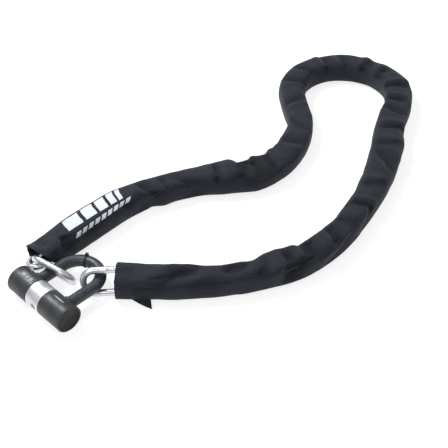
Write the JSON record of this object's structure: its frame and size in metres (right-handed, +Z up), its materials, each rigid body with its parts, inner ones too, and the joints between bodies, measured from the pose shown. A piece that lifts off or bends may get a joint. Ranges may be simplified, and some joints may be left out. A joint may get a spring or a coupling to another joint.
{
  "type": "chain lock",
  "caption": "Sleeved security chain closed into a loop by a cylindrical shackle lock, lying flat on the floor.",
  "frame": {"origin": "centre of the footprint, on the floor", "axes": "+Z up, +Y away from the lock towards the far bend of the chain, +X to the right seen from the lock"},
  "size_m": [0.5915, 0.6175, 0.042],
  "materials": {
    "steel": "hardened, satin",
    "zinc": "zinc plated, bright",
    "band": "brushed",
    "brass": "machined",
    "cover": "satin, dark grey",
    "cap": "satin, black",
    "vinyl": "satin vinyl, blue-grey",
    "tie": "black, slightly glossy",
    "rubber": "matt black",
    "nylon": "woven black nylon"
  },
  "bodies": {
    "shackle": {"shackle_rod": "steel", "shackle_coating": "vinyl", "coating_tie": "tie"},
    "lock_body": {"lock_case": "steel", "left_cover": "cover", "right_cover": "cover", "centre_band": "band", "left_end_cap": "cap", "right_end_cap": "cap", "cylinder_housing": "brass", "left_leg_seal": "rubber", "right_leg_seal": "rubber"},
    "key_plug": {"key_plug": "brass", "bolt_cam": "steel", "plug_clip": "steel"},
    "left_bolt": {"left_bolt": "steel"},
    "right_bolt": {"right_bolt": "steel"},
    "right_end_link": {"right_end_link": "zinc"},
    "left_end_link": {"left_end_link": "zinc"},
    "chain_right_mouth": {"sleeve_right_mouth": "nylon", "chain_link_01": "zinc", "chain_link_02": "zinc", "sleeve_tab": "nylon"},
    "chain_right_middle": {"sleeve_right_middle": "nylon", "chain_link_03": "zinc", "chain_link_04": "zinc", "chain_link_05": "zinc", "chain_link_06": "zinc"},
    "chain_right_outer": {"sleeve_right_outer": "nylon", "chain_link_07": "zinc", "chain_link_08": "zinc", "chain_link_09": "zinc", "chain_link_10": "zinc", "chain_link_11": "zinc"},
    "chain_far": {"sleeve_far": "nylon", "chain_link_12": "zinc", "chain_link_13": "zinc", "chain_link_14": "zinc", "chain_link_15": "zinc", "chain_link_16": "zinc", "chain_link_17": "zinc", "chain_link_18": "zinc", "chain_link_19": "zinc", "chain_link_20": "zinc", "chain_link_21": "zinc", "chain_link_22": "zinc"},
    "chain_left_outer": {"sleeve_left_outer": "nylon", "chain_link_23": "zinc", "chain_link_24": "zinc", "chain_link_25": "zinc"},
    "chain_left_middle": {"sleeve_left_middle": "nylon", "chain_link_26": "zinc", "chain_link_27": "zinc", "chain_link_28": "zinc", "chain_link_29": "zinc"},
    "chain_left_mouth": {"sleeve_left_mouth": "nylon", "chain_link_30": "zinc", "chain_link_31": "zinc", "chain_link_32": "zinc"}
  },
  "joints": [
    {"name": "lock_body_slide", "type": "slide", "parent": "shackle", "child": "lock_body", "axis": [-0.7009, -0.7133, 0], "range_m": [0, 0.04]},
    {"name": "key_turn", "type": "hinge", "parent": "lock_body", "child": "key_plug", "pos_m": [-0.24513, -0.26065, 0.0185], "axis": [0.7009, 0.7133, 0], "range_deg": [0, 90]},
    {"name": "left_bolt_throw", "type": "slide", "parent": "lock_body", "child": "left_bolt", "axis": [-0.7133, 0.7009, 0], "range_m": [0, 0.00501]},
    {"name": "right_bolt_throw", "type": "slide", "parent": "lock_body", "child": "right_bolt", "axis": [0.7133, -0.7009, 0], "range_m": [0, 0.00501]},
    {"name": "right_end_link_roll", "type": "hinge", "parent": "shackle", "child": "right_end_link", "pos_m": [-0.1687, -0.2306, 0.0198], "axis": [0.9976, 0, 0.0698], "range_deg": [0, 8]},
    {"name": "left_end_link_roll", "type": "hinge", "parent": "shackle", "child": "left_end_link", "pos_m": [-0.23603, -0.20363, 0.00516], "axis": [0.8192, -0.5736, 0], "range_deg": [-12, 0]},
    {"name": "chain_swing", "type": "hinge", "parent": "shackle", "child": "chain_right_mouth", "pos_m": [-0.14234, -0.23063, 0.02161], "axis": [0, 0, 1], "range_deg": [-12, 12], "deforming": ["sleeve_right_mouth", "sleeve_tab"]},
    {"name": "right_fold_inner", "type": "hinge", "parent": "chain_right_mouth", "child": "chain_right_middle", "pos_m": [-0.04934, -0.23141, 0.018], "axis": [0, 0, 1], "range_deg": [-14, 14], "deforming": ["sleeve_right_middle"]},
    {"name": "right_fold_outer", "type": "hinge", "parent": "chain_right_middle", "child": "chain_right_outer", "pos_m": [0.12305, -0.15738, 0.018], "axis": [0, 0, 1], "range_deg": [-14, 14], "deforming": ["sleeve_right_outer"]},
    {"name": "right_swing_outer", "type": "hinge", "parent": "chain_right_outer", "child": "chain_far", "pos_m": [0.22456, 0.05347, 0.018], "axis": [0, 0, 1], "range_deg": [-12, 12], "deforming": ["sleeve_far"]},
    {"name": "left_swing_outer", "type": "hinge", "parent": "chain_far", "child": "chain_left_outer", "pos_m": [0.09892, 0.08857, 0.018], "axis": [0, 0, 1], "range_deg": [-12, 12], "deforming": ["sleeve_left_outer"]},
    {"name": "left_fold_outer", "type": "hinge", "parent": "chain_left_outer", "child": "chain_left_middle", "pos_m": [0.00283, -0.01353, 0.018], "axis": [0, 0, 1], "range_deg": [-14, 14], "deforming": ["sleeve_left_middle"]},
    {"name": "left_fold_inner", "type": "hinge", "parent": "chain_left_middle", "child": "chain_left_mouth", "pos_m": [-0.16957, -0.08755, 0.018], "axis": [0, 0, 1], "range_deg": [-14, 14], "deforming": ["sleeve_left_mouth"]}
  ],
  "couplings": [
    {"joint": "left_bolt_throw", "follows": "key_turn", "m_per_rad": 0.0031831},
    {"joint": "right_bolt_throw", "follows": "key_turn", "m_per_rad": 0.0031831},
    {"joint": "right_swing_outer", "follows": "chain_swing", "ratio": -1},
    {"joint": "left_swing_outer", "follows": "chain_swing", "ratio": 1},
    {"joint": "right_fold_outer", "follows": "right_fold_inner", "ratio": -1},
    {"joint": "left_fold_outer", "follows": "right_fold_inner", "ratio": 1},
    {"joint": "left_fold_inner", "follows": "right_fold_inner", "ratio": -1}
  ]
}
